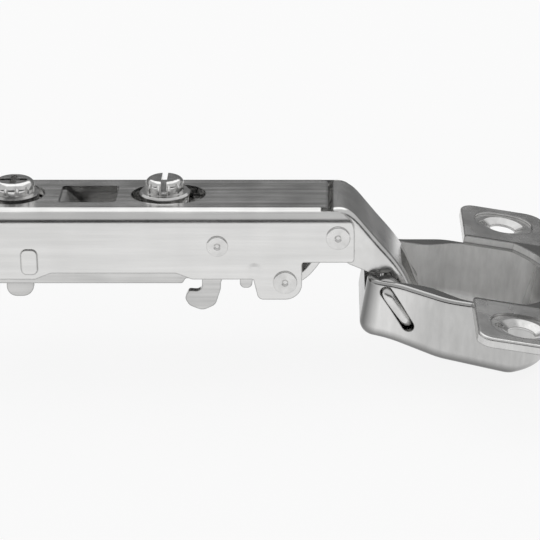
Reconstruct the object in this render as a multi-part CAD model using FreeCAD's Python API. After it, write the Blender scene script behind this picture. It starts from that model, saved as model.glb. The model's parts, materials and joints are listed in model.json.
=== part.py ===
import FreeCAD, Part
import math
import os

# A clip-on concealed cabinet hinge, open, as it stands beside its cabinet.
# X runs along the arm to the cup, Y across it, Z up. Sizes are in millimetres.
# The origin is the centre of the seat in the front hook.

# Running clearances
pin_clearance = 0.05
fixed_clearance = 0.02
side_clearance = 0.3
travel_clearance = 0.25

# Heights below and above every piece, for cuts that go right through
below_all_z = -9.0
above_all_z = 20.0

# Arm
arm_rear_overhang = 9.1
arm_width = 17.1
arm_top_z = 13.1
arm_sheet = 1.2
arm_bend_radius = 2.3
arm_inner_bend_radius = 1.1
arm_top_end_x = 21.6
arm_bend_end_x = 20.3
arm_top_lip_radius = 0.8
arm_bottom_z = 1.6
arm_raised_bottom_z = 2.65
arm_raise_start_x = -23.0
arm_raise_end_x = -3.0
arm_raise_run = 2.6
nose_end_x = 25.6
nose_bottom_z = 4.5
nose_top_z = 12.85
nose_radius = 3.2
lug_start_x = 9.4
lug_end_x = 17.2
lug_bottom_z = -1.9

# Pivots of the two links on the arm
outer_pivot_x = 23.0
outer_pivot_z = 8.7
inner_pivot_x = 14.5
inner_pivot_z = 1.1
rivet_radius = 1.5
rivet_head_radius = 1.95
rivet_head_height = 0.3
rivet_head_rounding = 0.22
rivet_dimple_radius = 0.6
rivet_dimple_depth = 0.25

# Openings in the arm's top
slot_rear_margin = 2.65
slot_front_margin = 2.3
slot_width = 7.8
slot_corner_radius = 0.6
tongue_width = 5.4
oval_centre_x = -4.45
oval_length = 12.0
oval_width = 8.9
depth_opening_radius = 4.9

# Pressed marks in the arm's walls
emboss_height = 0.3
rear_emboss_x = -26.4
rear_emboss_z = 4.6
rear_emboss_width = 2.6
rear_emboss_length = 4.2
dimple_x = 9.6
dimple_z = 3.0
dimple_radius = 1.4
dimple_height = 0.1

# Adjuster channel inside the arm
channel_rear_overhang = 7.1
channel_front_x = 9.4
channel_bottom_z = 0.35
channel_sheet = 1.2
channel_web_top_z = 8.4
channel_web_front_x = -0.9
channel_side_top_z = 10.2
channel_tab_x = 8.15
channel_tab_length = 1.9
channel_tab_bottom_z = -0.45
hook_seat_radius = 1.1
hook_wall = 3.3
hook_tip_x = -1.75
hook_front_x = 4.1

# Tilt pin and its slots
tilt_pin_x = 3.7
tilt_pin_z = 7.3
tilt_pin_radius = 1.25
depth_travel_back = 2.0
depth_travel_front = 0.5

# Side screw, in front
side_screw_x = -5.0
side_head_radius = 3.1
side_head_top_z = 15.9
side_disc_radius = 4.15
side_disc_top_z = 13.4
side_collar_radius = 5.0
side_collar_top_z = 11.2
side_collar_height = 0.9
side_stem_radius = 2.0
side_stem_bottom_z = 3.6
flute_count = 12
flute_radius = 0.4
side_slot_width = 0.9
side_slot_depth = 1.5
nut_radius = 3.2
nut_bottom_z = 5.0

# Depth screw, behind
depth_screw_x = -29.4
depth_head_radius = 3.45
depth_head_top_z = 15.6
depth_disc_radius = 4.0
depth_disc_top_z = 13.4
depth_cam_radius = 5.6
depth_cam_height = 1.0
depth_stem_radius = 1.6
depth_stem_bottom_z = 7.3
cross_width = 1.0
cross_length = 4.4
cross_depth = 1.6

# Clip lever, its pin and its spring
lever_pin_setback = 4.6
lever_pin_z = 4.0
lever_pin_radius = 1.0
lever_sheet = 1.2
lever_eye_radius = 2.3
claw_rear_offset = 3.4
claw_length = 4.4
claw_bottom_z = -2.5
claw_top_z = 2.6
lever_pad_reach = 8.5
lever_pad_top_z = 6.2
lever_pad_bottom_z = 2.6
lever_spring_wire = 0.8
lever_spring_turns = 4.5
lever_spring_leg = 3.6
spring_pitch = 1.12

# Outer link
outer_link_sheet = 1.2
outer_link_eye_radius = 3.1
outer_link_cup_eye_radius = 2.3
outer_link_offset = 3.6
outer_link_ear_drop = 1.8
outer_link_bend_radius = 1.0
outer_link_knuckle_width = 3.2
outer_link_top_x = 22.3
outer_link_top_z = 12.35

# Inner link
inner_link_play = 0.5
inner_link_sheet = 1.2
inner_link_eye_radius = 2.6
inner_link_crown = 4.7
inner_link_hook_radius = 1.5

# Closing springs on the inner link's rivet
closing_spring_wire = 0.9
closing_spring_turns = 1.75
closing_spring_leg = 3.2

# Cup, in its own frame: X away from the arm, Z out of its mouth
cup_x = 42.3
cup_z = 1.0
cup_tilt_deg = 9.5
cup_boring_radius = 17.5
cup_depth = 12.0
cup_bottom_slope_deg = 4.0
cup_wall = 1.2
cup_floor = 1.1
cup_bottom_radius = 2.2
cup_snout_inset = 3.0
cup_snout_corner_radius = 2.6
cup_link_gap = 1.1
cup_body_inset = 3.7
cup_body_corner_radius = 3.4
cup_flare_end_x = -1.5
cup_flare_length = 8.0
cup_flare_bend_radius = 9.0
cup_inner_flare_end_x = 1.0
cup_inner_flare_length = 5.5
cup_rim_drop = 1.2
cup_rim_rounding = 0.7
cup_ledge = 0.9
cup_end_lip = 1.5
outer_cup_pin_x = -7.0
outer_cup_pin_z = -7.45
inner_cup_pin_x = -11.3
inner_cup_pin_z = -2.8
cup_pin_radius = 0.95
cup_pin_groove_depth = 1.25
cup_pin_bend_radius = 1.0
cup_pin_boss_radius = 2.1
cup_pin_boss_height = 1.1
notch_side = 2.9
notch_bottom_z = -4.2

# Wings of the cup
wing_sheet = 1.5
wing_start_x = 2.2
wing_end_x = 17.0
wing_tip_margin = 6.8
wing_corner_radius = 2.5
wing_edge_rounding = 0.45
wing_hole_x = 9.5
wing_hole_spacing = 45.0
wing_hole_radius = 2.2
wing_sink_radius = 3.6
wing_recess_length = 10.0
wing_recess_width = 9.4
wing_recess_corner = 4.0
wing_recess_depth = 0.4
wing_pip_offset = 3.4
wing_pip_radius = 0.9

# Sizes that follow from those above
arm_rear_x = depth_screw_x - arm_rear_overhang
channel_rear_x = depth_screw_x - channel_rear_overhang
lever_pin_x = depth_screw_x - lever_pin_setback
claw_rear_x = lever_pin_x + claw_rear_offset
claw_front_x = claw_rear_x + claw_length
lever_pad_x = lever_pin_x - lever_pad_reach
arm_half = arm_width / 2
arm_inner_half = arm_half - arm_sheet
channel_half = arm_inner_half - side_clearance
channel_inner_half = channel_half - channel_sheet
arm_under_z = arm_top_z - arm_sheet
slot_rear_x = depth_screw_x + depth_opening_radius + slot_rear_margin
slot_front_x = oval_centre_x - oval_length / 2 - slot_front_margin
slot_length = slot_front_x - slot_rear_x
slot_centre_x = (slot_rear_x + slot_front_x) / 2
outer_link_width = 2 * (arm_inner_half - side_clearance) - 0.1
fork_width = outer_link_width - 2 * outer_link_knuckle_width
inner_link_width = fork_width - 2 * inner_link_play
cup_snout_x = cup_snout_inset - cup_boring_radius
cup_snout_half_width = outer_link_width / 2 + cup_link_gap + cup_pin_boss_height + cup_wall
wing_half_span = wing_hole_spacing / 2 + wing_tip_margin
cup_body_half_width = cup_boring_radius - cup_body_inset
notch_half_width = cup_snout_half_width - notch_side


def rounded_wire(corners, y):
    """A closed wire in the XZ plane at y, from corners given as x, z and radius."""
    count = len(corners)
    starts = []
    ends = []
    middles = []
    for index in range(count):
        x, z, radius = corners[index]
        before = corners[index - 1]
        after = corners[(index + 1) % count]
        corner = FreeCAD.Vector(x, y, z)
        back = (FreeCAD.Vector(before[0], y, before[1]) - corner).normalize()
        ahead = (FreeCAD.Vector(after[0], y, after[1]) - corner).normalize()
        half_turn = back.getAngle(ahead) / 2
        if radius <= 0:
            starts.append(corner)
            ends.append(corner)
            middles.append(None)
            continue
        cut = radius / math.tan(half_turn)
        inward = (back + ahead).normalize()
        centre = corner + inward * (radius / math.sin(half_turn))
        starts.append(corner + back * cut)
        ends.append(corner + ahead * cut)
        middles.append(centre - inward * radius)
    edges = []
    for index in range(count):
        if middles[index] is not None:
            edges.append(Part.Arc(starts[index], middles[index], ends[index]).toShape())
        following = starts[(index + 1) % count]
        if ends[index].distanceToPoint(following) > 1e-6:
            edges.append(Part.makeLine(ends[index], following))
    return Part.Wire(edges)


def side_plate(corners, y_low, y_high):
    """A plate with the given outline seen from the side, between two places across."""
    face = Part.Face(rounded_wire(corners, y_low))
    return face.extrude(FreeCAD.Vector(0, y_high - y_low, 0))


def cross_bar(x, z, radius, y_low, y_high):
    """A round bar that lies across the hinge."""
    return Part.makeCylinder(radius, y_high - y_low, FreeCAD.Vector(x, y_low, z), FreeCAD.Vector(0, 1, 0))


def upright(x, y, radius, z_low, z_high):
    """A round bar that stands upright."""
    return Part.makeCylinder(radius, z_high - z_low, FreeCAD.Vector(x, y, z_low))


def block(x_low, x_high, y_low, y_high, z_low, z_high):
    """A plain block between its limits."""
    size = (x_high - x_low, y_high - y_low, z_high - z_low)
    return Part.makeBox(size[0], size[1], size[2], FreeCAD.Vector(x_low, y_low, z_low))


def both_sides(shape):
    """The shape and its mirror image across the hinge's middle plane."""
    return [shape, shape.mirror(FreeCAD.Vector(0, 0, 0), FreeCAD.Vector(0, 1, 0))]


def flat_outline(corners, z_low, z_high):
    """A plate with the given outline seen from above, from corners of x, y and radius."""
    wire = rounded_wire(corners, 0)
    wire.rotate(FreeCAD.Vector(0, 0, 0), FreeCAD.Vector(1, 0, 0), -90)
    wire.translate(FreeCAD.Vector(0, 0, z_low))
    return Part.Face(wire).extrude(FreeCAD.Vector(0, 0, z_high - z_low))


def long_hole(centre_x, length, width, radius, z_low, z_high):
    """A hole seen from above, with its corners rounded."""
    half_length = length / 2
    half_width = width / 2
    corners = [
        (centre_x - half_length, -half_width, radius),
        (centre_x + half_length, -half_width, radius),
        (centre_x + half_length, half_width, radius),
        (centre_x - half_length, half_width, radius),
    ]
    return flat_outline(corners, z_low, z_high)


def ribbon(points, thickness, y_low, y_high):
    """A bent strip of sheet, from the middle line that it follows seen from the side."""
    middle = Part.BSplineCurve()
    middle.interpolate([FreeCAD.Vector(x, y_low, z) for x, z in points])
    upper = []
    lower = []
    steps = 6 * (len(points) - 1)
    for step in range(steps + 1):
        place = middle.FirstParameter + (middle.LastParameter - middle.FirstParameter) * step / steps
        tangent = middle.tangent(place)[0]
        normal = FreeCAD.Vector(-tangent.z, 0, tangent.x)
        upper.append(middle.value(place) + normal * (thickness / 2))
        lower.append(middle.value(place) - normal * (thickness / 2))
    upper_curve = Part.BSplineCurve()
    upper_curve.interpolate(upper)
    lower_curve = Part.BSplineCurve()
    lower_curve.interpolate(lower)
    edges = [
        upper_curve.toShape(),
        Part.makeLine(upper[-1], lower[-1]),
        lower_curve.toShape(),
        Part.makeLine(lower[0], upper[0]),
    ]
    face = Part.Face(Part.Wire(Part.__sortEdges__(edges)))
    return face.extrude(FreeCAD.Vector(0, y_high - y_low, 0))


def joined(first, others):
    """One solid from pieces that meet."""
    return first.fuse(others).removeSplitter()


def in_cup(shape):
    """Moves a shape from the cup's own frame to its place on the open hinge."""
    placed = shape.copy()
    placed.rotate(FreeCAD.Vector(0, 0, 0), FreeCAD.Vector(0, 1, 0), cup_tilt_deg)
    placed.translate(FreeCAD.Vector(cup_x, 0, cup_z))
    return placed


def cup_point(x, z):
    """A point of the cup's own frame, as x and z of the open hinge."""
    tilt = math.radians(cup_tilt_deg)
    return (
        cup_x + x * math.cos(tilt) + z * math.sin(tilt),
        cup_z - x * math.sin(tilt) + z * math.cos(tilt),
    )


outer_cup_x, outer_cup_z = cup_point(outer_cup_pin_x, outer_cup_pin_z)
inner_cup_x, inner_cup_z = cup_point(inner_cup_pin_x, inner_cup_pin_z)


def wall_outline():
    """The arm's outline seen from the side."""
    return [
        (arm_rear_x, arm_top_z, 0.8),
        (arm_rear_x, arm_bottom_z, 1.5),
        (arm_raise_start_x - arm_raise_run, arm_bottom_z, 1.0),
        (arm_raise_start_x, arm_raised_bottom_z, 1.0),
        (arm_raise_end_x, arm_raised_bottom_z, 1.0),
        (arm_raise_end_x + arm_raise_run, arm_bottom_z, 1.0),
        (lug_start_x, arm_bottom_z, 0.3),
        (lug_start_x + 0.8, lug_bottom_z, 1.0),
        (lug_end_x, lug_bottom_z, lug_end_x - inner_pivot_x),
        (lug_end_x, nose_bottom_z, 0.4),
        (nose_end_x, nose_bottom_z, 0.6),
        (nose_end_x, nose_top_z, nose_radius),
        (arm_bend_end_x, nose_top_z, 0),
        (arm_bend_end_x, arm_top_z, 0),
    ]


def arm_section():
    """The arm's bent sheet as a long straight channel, before its outline is cut."""
    low = lug_bottom_z - 1
    outer = [
        (-arm_half, low, 0),
        (-arm_half, arm_top_z, arm_bend_radius),
        (arm_half, arm_top_z, arm_bend_radius),
        (arm_half, low, 0),
    ]
    inner = [
        (-arm_inner_half, low - 1, 0),
        (-arm_inner_half, arm_under_z, arm_inner_bend_radius),
        (arm_inner_half, arm_under_z, arm_inner_bend_radius),
        (arm_inner_half, low - 1, 0),
    ]
    length = nose_end_x - arm_rear_x + 2
    section = side_plate(outer, 0, length).cut(side_plate(inner, 0, length))
    section.rotate(FreeCAD.Vector(0, 0, 0), FreeCAD.Vector(0, 0, 1), -90)
    section.translate(FreeCAD.Vector(arm_rear_x - 1, 0, 0))
    return section


def arm_embosses():
    """The raised marks on the arm's near and far walls."""
    half_width = rear_emboss_width / 2
    half_length = rear_emboss_length / 2
    corners = [
        (rear_emboss_x - half_width, rear_emboss_z - half_length, 0.9),
        (rear_emboss_x + half_width, rear_emboss_z - half_length, 0.9),
        (rear_emboss_x + half_width, rear_emboss_z + half_length, 0.9),
        (rear_emboss_x - half_width, rear_emboss_z + half_length, 0.9),
    ]
    rear = side_plate(corners, -arm_half - emboss_height, -arm_half + arm_sheet / 2)
    front = Part.makeCone(
        dimple_radius * 0.6,
        dimple_radius,
        dimple_height,
        FreeCAD.Vector(dimple_x, -arm_half - dimple_height, dimple_z),
        FreeCAD.Vector(0, 1, 0),
    )
    return both_sides(rear) + both_sides(front)


def top_lip():
    """The rounded end of the arm's top, which reaches past its two bends."""
    corners = [
        (arm_bend_end_x - 1, arm_under_z, 0),
        (arm_top_end_x, arm_under_z, 0.3),
        (arm_top_end_x, arm_top_z, arm_top_lip_radius),
        (arm_bend_end_x - 1, arm_top_z, 0),
    ]
    reach = arm_half - arm_bend_radius
    return side_plate(corners, -reach, reach)


def slot_tongue():
    """The tongue that is bent down at the rear end of the arm's rectangular slot."""
    rear = slot_rear_x
    corners = [
        (rear - 0.5, arm_under_z + 0.9, 0),
        (rear - 0.5, arm_under_z + 0.1, 0),
        (rear + 0.3, arm_under_z + 0.1, 0.3),
        (rear + 2.2, arm_under_z - 1.6, 0.1),
        (rear + 2.9, arm_under_z - 1.1, 0.1),
        (rear + 0.7, arm_under_z + 0.9, 0.4),
    ]
    return side_plate(corners, -tongue_width / 2, tongue_width / 2)


def hinge_arm():
    """The outer arm, one folded sheet with two pairs of ears."""
    arm = side_plate(wall_outline(), -arm_half, arm_half).common(arm_section())
    above = arm_top_z + 1
    below = arm_under_z - 1
    past_end = nose_end_x + 1
    arm = arm.cut(block(arm_bend_end_x, past_end, -arm_inner_half, arm_inner_half, below, above))
    arm = joined(arm, arm_embosses() + [top_lip()])
    arm = arm.cut(long_hole(slot_centre_x, slot_length, slot_width, slot_corner_radius, below, above))
    arm = arm.cut(long_hole(oval_centre_x, oval_length, oval_width, oval_width / 2 - 0.01, below, above))
    arm = arm.cut(upright(depth_screw_x, 0, depth_opening_radius, below, above))
    arm = joined(arm, [slot_tongue()])
    hole_radius = rivet_radius + fixed_clearance
    arm = arm.cut(cross_bar(outer_pivot_x, outer_pivot_z, hole_radius, -arm_half - 1, arm_half + 1))
    arm = arm.cut(cross_bar(inner_pivot_x, inner_pivot_z, hole_radius, -arm_half - 1, arm_half + 1))
    tilt_hole = tilt_pin_radius + pin_clearance
    return arm.cut(cross_bar(tilt_pin_x, tilt_pin_z, tilt_hole, -arm_half - 1, arm_half + 1))


def rivet(x, z, radius, head_radius):
    """A rivet across the arm, with a low rounded head and a small dimple at each end."""
    body = cross_bar(x, z, radius, -arm_half, arm_half)
    outer_y = -arm_half - rivet_head_height
    head = cross_bar(x, z, head_radius, outer_y, -arm_half)
    rim = [edge for edge in head.Edges if edge.BoundBox.YMax < outer_y + 1e-4]
    head = head.makeFillet(rivet_head_rounding, rim)
    dimple = Part.makeCone(
        rivet_dimple_radius,
        rivet_dimple_radius * 0.5,
        rivet_dimple_depth,
        FreeCAD.Vector(x, outer_y, z),
        FreeCAD.Vector(0, 1, 0),
    )
    return joined(body, both_sides(head.cut(dimple)))


def hook_outline():
    """The hook under the channel's front, seen from the side, open to the rear."""
    bottom = -hook_seat_radius - hook_wall
    return [
        (hook_seat_radius, channel_bottom_z + 1.5, 0),
        (hook_seat_radius, -hook_seat_radius, hook_seat_radius - 0.1),
        (hook_tip_x + 0.7, 0.15 - hook_seat_radius, 0.5),
        (hook_tip_x, 0.5 * bottom, 0.9),
        (hook_tip_x + 0.7, bottom + 0.9, 1.3),
        (hook_seat_radius, bottom, 1.7),
        (hook_front_x - 0.9, bottom + 1.0, 1.5),
        (hook_front_x, -0.6, 1.5),
        (hook_front_x, channel_bottom_z + 1.5, 0),
    ]


def channel_outline():
    """The channel's outline seen from the side, above the hook."""
    return [
        (channel_rear_x, channel_web_top_z, 0.8),
        (channel_rear_x, channel_bottom_z, 1.2),
        (-hook_seat_radius - 1.0, channel_bottom_z, 0.4),
        (-hook_seat_radius - 0.4, hook_seat_radius + 0.1, 0.3),
        (hook_seat_radius, hook_seat_radius + 0.1, 0.3),
        (hook_seat_radius, channel_bottom_z, 0),
        (hook_front_x, channel_bottom_z, 0.5),
        (hook_front_x + 0.8, arm_bottom_z + 0.9, 0.8),
        (channel_tab_x - channel_tab_length / 2, arm_bottom_z + 0.9, 0.3),
        (channel_tab_x - channel_tab_length / 2, channel_tab_bottom_z, 0.8),
        (channel_tab_x + channel_tab_length / 2, channel_tab_bottom_z, 0.8),
        (channel_front_x, arm_bottom_z + 0.9, 0.6),
        (channel_front_x, channel_side_top_z, 1.5),
        (channel_web_front_x, channel_side_top_z, 0.5),
        (channel_web_front_x - 1.2, channel_web_top_z, 0.5),
    ]


def adjuster_channel():
    """The channel that clips to the cabinet's plate, with its pair of hooks."""
    full = side_plate(channel_outline(), -channel_half, channel_half)
    hooks = side_plate(hook_outline(), -channel_half, channel_half)
    channel = full.fuse(hooks)
    inside = channel_inner_half
    under = channel_web_top_z - channel_sheet
    rear = channel_rear_x - 1
    front = channel_front_x + 1
    channel = channel.cut(block(rear, front, -inside, inside, below_all_z, under))
    channel = channel.cut(block(channel_web_front_x, front, -inside, inside, below_all_z, above_all_z))
    channel = channel.cut(block(rear, front, -inside, inside, channel_web_top_z, above_all_z))
    slot_radius = tilt_pin_radius + pin_clearance
    rear_end = tilt_pin_x - depth_travel_back - slot_radius - travel_clearance
    front_end = tilt_pin_x + depth_travel_front + slot_radius + travel_clearance
    corners = [
        (rear_end, tilt_pin_z - slot_radius, slot_radius - 0.01),
        (front_end, tilt_pin_z - slot_radius, slot_radius - 0.01),
        (front_end, tilt_pin_z + slot_radius, slot_radius - 0.01),
        (rear_end, tilt_pin_z + slot_radius, slot_radius - 0.01),
    ]
    channel = channel.cut(side_plate(corners, -arm_half, arm_half))
    pin_hole = lever_pin_radius + fixed_clearance
    channel = channel.cut(cross_bar(lever_pin_x, lever_pin_z, pin_hole, -arm_half, arm_half))
    channel = channel.cut(upright(side_screw_x, 0, nut_radius - 0.8 + fixed_clearance, 0, above_all_z))
    stem_slot = depth_stem_radius + 2 * travel_clearance
    slot_length_here = depth_travel_back + depth_travel_front + 2 * stem_slot
    slot_middle = depth_screw_x + (depth_travel_front - depth_travel_back) / 2
    rounding = stem_slot - 0.01
    stem_hole = long_hole(slot_middle, slot_length_here, 2 * stem_slot, rounding, 0, above_all_z)
    return channel.cut(stem_hole).removeSplitter()


def tilt_pin():
    """The pin that the arm tilts about, which slides in the channel's slots."""
    return rivet(tilt_pin_x, tilt_pin_z, tilt_pin_radius, tilt_pin_radius + 0.5)


def screw_head(x, radius, z_low, z_high, rounding):
    """A screw's round head with a ring of fine flutes round its edge."""
    head = upright(x, 0, radius, z_low, z_high)
    rim = [edge for edge in head.Edges if edge.BoundBox.ZMin > z_high - 1e-4]
    head = head.makeFillet(rounding, rim)
    for step in range(flute_count):
        angle = 2 * math.pi * (step + 0.5) / flute_count
        flute_x = x + radius * 1.05 * math.cos(angle)
        flute_y = radius * 1.05 * math.sin(angle)
        head = head.cut(upright(flute_x, flute_y, flute_radius, z_low + 0.4, z_high + 1))
    return head


def side_screw():
    """The slotted screw that sets the door sideways."""
    x = side_screw_x
    disc = Part.makeCone(side_disc_radius, side_disc_radius - 0.3, 0.3, FreeCAD.Vector(x, 0, side_disc_top_z))
    disc = disc.fuse(upright(x, 0, side_disc_radius, arm_under_z, side_disc_top_z))
    head = screw_head(x, side_head_radius, side_disc_top_z, side_head_top_z, 1.0)
    collar_bottom = side_collar_top_z - side_collar_height
    collar = upright(x, 0, side_collar_radius, collar_bottom, side_collar_top_z)
    neck = upright(x, 0, side_head_radius, side_collar_top_z, arm_under_z)
    stem = upright(x, 0, side_stem_radius, side_stem_bottom_z + 0.6, collar_bottom)
    tip_base = FreeCAD.Vector(x, 0, side_stem_bottom_z)
    tip = Part.makeCone(side_stem_radius - 0.6, side_stem_radius, 0.6, tip_base)
    screw = joined(disc, [head, collar, neck, stem, tip])
    half_slot = side_slot_width / 2
    floor_z = side_head_top_z - side_slot_depth
    reach = side_disc_radius
    return screw.cut(block(x - half_slot, x + half_slot, -reach, reach, floor_z, above_all_z))


def side_screw_nut():
    """The threaded bush that is riveted into the channel's web."""
    under = channel_web_top_z - channel_sheet
    bush = upright(side_screw_x, 0, nut_radius, nut_bottom_z, under)
    bush = bush.fuse(upright(side_screw_x, 0, nut_radius - 0.8, under, channel_web_top_z + 0.3))
    bore = upright(side_screw_x, 0, side_stem_radius + pin_clearance, 0, above_all_z)
    return bush.cut(bore).removeSplitter()


def depth_screw():
    """The cross-slotted cam screw that sets the door in and out."""
    x = depth_screw_x
    cam_top = arm_under_z - side_clearance
    cam = upright(x, 0, depth_cam_radius, cam_top - depth_cam_height, cam_top)
    disc = upright(x, 0, depth_disc_radius, cam_top, depth_disc_top_z)
    head = screw_head(x, depth_head_radius, depth_disc_top_z, depth_head_top_z, 1.2)
    stem = upright(x, 0, depth_stem_radius, depth_stem_bottom_z, cam_top - depth_cam_height)
    screw = joined(cam, [disc, head, stem])
    half = cross_length / 2
    thin = cross_width / 2
    floor_z = depth_head_top_z - cross_depth
    screw = screw.cut(block(x - half, x + half, -thin, thin, floor_z, above_all_z))
    return screw.cut(block(x - thin, x + thin, -half, half, floor_z, above_all_z))


def clip_lever():
    """The sprung lever that catches the rear of the cabinet's plate."""
    outer = channel_inner_half - side_clearance
    inner = outer - lever_sheet
    cheek_corners = [
        (claw_rear_x, claw_bottom_z, 1.6),
        (claw_front_x, claw_bottom_z, 1.9),
        (claw_front_x, claw_top_z, 1.0),
        (lever_pin_x + 1.5, lever_pad_top_z, 1.2),
        (lever_pad_x, lever_pad_top_z, 1.2),
        (lever_pad_x, lever_pad_bottom_z, 0.6),
        (lever_pin_x - 2.0, lever_pin_z - lever_eye_radius, 1.2),
        (claw_rear_x, lever_pin_z - lever_eye_radius - 0.6, 0.8),
    ]
    cheek = side_plate(cheek_corners, -outer, -inner)
    pad_corners = [
        (lever_pad_x, lever_pad_top_z, 1.2),
        (lever_pad_x, lever_pad_bottom_z, 0.6),
        (lever_pad_x + lever_sheet, lever_pad_bottom_z, 0.3),
        (lever_pad_x + lever_sheet, lever_pad_top_z - lever_sheet, 0.5),
        (lever_pad_x + 3.2, lever_pad_top_z - lever_sheet, 0.3),
        (lever_pad_x + 3.2, lever_pad_top_z, 0.3),
    ]
    pad = side_plate(pad_corners, -outer, outer)
    lever = joined(pad, both_sides(cheek))
    bore = lever_pin_radius + pin_clearance
    return lever.cut(cross_bar(lever_pin_x, lever_pin_z, bore, -arm_half, arm_half))


def lever_pin():
    """The pin across the channel that carries the clip lever."""
    return cross_bar(lever_pin_x, lever_pin_z, lever_pin_radius, -channel_half, channel_half)


def coil(x, z, core_radius, wire, turns, y_start, turned_deg, legs):
    """A torsion spring about a bar across the hinge. Legs are two angles and two lengths."""
    radius = core_radius + wire / 2
    pitch = wire * spring_pitch
    path = Part.makeHelix(pitch, turns * pitch, radius)
    path.rotate(FreeCAD.Vector(0, 0, 0), FreeCAD.Vector(1, 0, 0), -90)
    path.rotate(FreeCAD.Vector(0, 0, 0), FreeCAD.Vector(0, -1, 0), turned_deg)
    path.translate(FreeCAD.Vector(x, y_start, z))
    first = path.Edges[0].valueAt(path.Edges[0].FirstParameter)
    last = path.Edges[-1].valueAt(path.Edges[-1].LastParameter)
    tangent = path.Edges[0].tangentAt(path.Edges[0].FirstParameter)
    ring = Part.Wire([Part.makeCircle(wire / 2, first, tangent)])
    wound = Part.Wire(path.Edges).makePipeShell([ring], True, True)
    pieces = []
    for end, (angle_deg, length) in zip((first, last), legs):
        angle = math.radians(angle_deg)
        direction = FreeCAD.Vector(math.cos(angle), 0, math.sin(angle))
        pieces.append(Part.makeCylinder(wire / 2, length, end, direction))
        pieces.append(Part.makeSphere(wire / 2, end))
    return joined(wound, pieces)


def lever_spring():
    """The torsion spring that holds the clip lever shut."""
    wire = lever_spring_wire
    turns = lever_spring_turns
    start = -turns * wire * spring_pitch / 2
    core = lever_pin_radius + side_clearance
    legs = ((25, lever_spring_leg), (125, lever_spring_leg))
    return coil(lever_pin_x, lever_pin_z, core, wire, turns, start, 0, legs)


def closing_spring():
    """The near one of two torsion springs that pull the door shut."""
    wire = closing_spring_wire
    turns = closing_spring_turns
    width = turns * wire * spring_pitch
    start = -inner_link_width / 2 - side_clearance - wire / 2 - width
    core = rivet_radius + side_clearance
    legs = ((175, closing_spring_leg), (80, closing_spring_leg / 2))
    return coil(inner_pivot_x, inner_pivot_z, core, wire, turns, start, -90, legs)


def outer_link_line(along, offset):
    """A point beside the straight line between the outer link's two pivots."""
    run_x = outer_cup_x - outer_pivot_x
    run_z = outer_cup_z - outer_pivot_z
    length = math.hypot(run_x, run_z)
    return (
        outer_pivot_x + (run_x * along - run_z * offset) / length,
        outer_pivot_z + (run_z * along + run_x * offset) / length,
    )


def rounded_sides(web, half):
    """Rounds the two long outer edges of the link's web, where it is bent into its ears."""
    outer = []
    for edge in web.Edges:
        box = edge.BoundBox
        flat = box.YLength < 1e-4 and abs(abs(box.YMin) - half) < 1e-4
        if flat and edge.Length > 10:
            outer.append(edge)
    upper = [edge for edge in outer if edge.BoundBox.ZMax > outer_link_top_z + outer_link_sheet * 0.3]
    return web.makeFillet(outer_link_bend_radius, upper)


def outer_link():
    """The outer link, a bent sheet with two ears on the arm and a forked eye in the cup."""
    half = outer_link_width / 2
    length = math.hypot(outer_cup_x - outer_pivot_x, outer_cup_z - outer_pivot_z)
    rolled = outer_link_cup_eye_radius - outer_link_sheet / 2
    path = [
        (outer_link_top_x, outer_link_top_z),
        (outer_link_top_x + 1.9, outer_link_top_z - 0.15),
        outer_link_line(1.0, outer_link_offset),
        outer_link_line(5.0, outer_link_offset),
        outer_link_line(length * 0.58, outer_link_offset),
        outer_link_line(length * 0.75, outer_link_offset - 0.5),
        outer_link_line(length * 0.9, rolled + 0.55),
        outer_link_line(length, rolled),
    ]
    web = ribbon(path, outer_link_sheet, -half, half)
    web = rounded_sides(web, half)
    inside = -half + outer_link_sheet
    ear_eye = cross_bar(outer_pivot_x, outer_pivot_z, outer_link_eye_radius, -half, inside)
    ear_corners = [
        (outer_link_top_x + 0.1, outer_link_top_z - 0.5, 0.2),
        (outer_link_top_x + 1.9, outer_link_top_z - 0.5, 0.8),
        outer_link_line(1.2, outer_link_offset - 0.5) + (0.4,),
        outer_link_line(length * 0.6, outer_link_offset - 0.5) + (0.4,),
        outer_link_line(length * 0.5, 0.2) + (0.8,),
        outer_link_line(length * 0.286, -outer_link_ear_drop) + (1.5,),
        (outer_pivot_x - outer_link_eye_radius * 0.6, outer_pivot_z - outer_link_eye_radius * 0.8, 0.4),
    ]
    ear = joined(ear_eye, [side_plate(ear_corners, -half, -half + outer_link_sheet)])
    eye = cross_bar(outer_cup_x, outer_cup_z, outer_link_cup_eye_radius, -half, half)
    link = joined(web, both_sides(ear) + [eye])
    fork = fork_width / 2
    fork_x, fork_z = outer_link_line(length * 0.62, outer_link_offset)
    link = link.cut(block(fork_x - length, fork_x + length, -fork, fork, fork_z - length, fork_z))
    bore = rivet_radius + pin_clearance
    link = link.cut(cross_bar(outer_pivot_x, outer_pivot_z, bore, -half - 1, half + 1))
    bore = cup_pin_radius + pin_clearance
    return link.cut(cross_bar(outer_cup_x, outer_cup_z, bore, -half - 1, half + 1))


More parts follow.
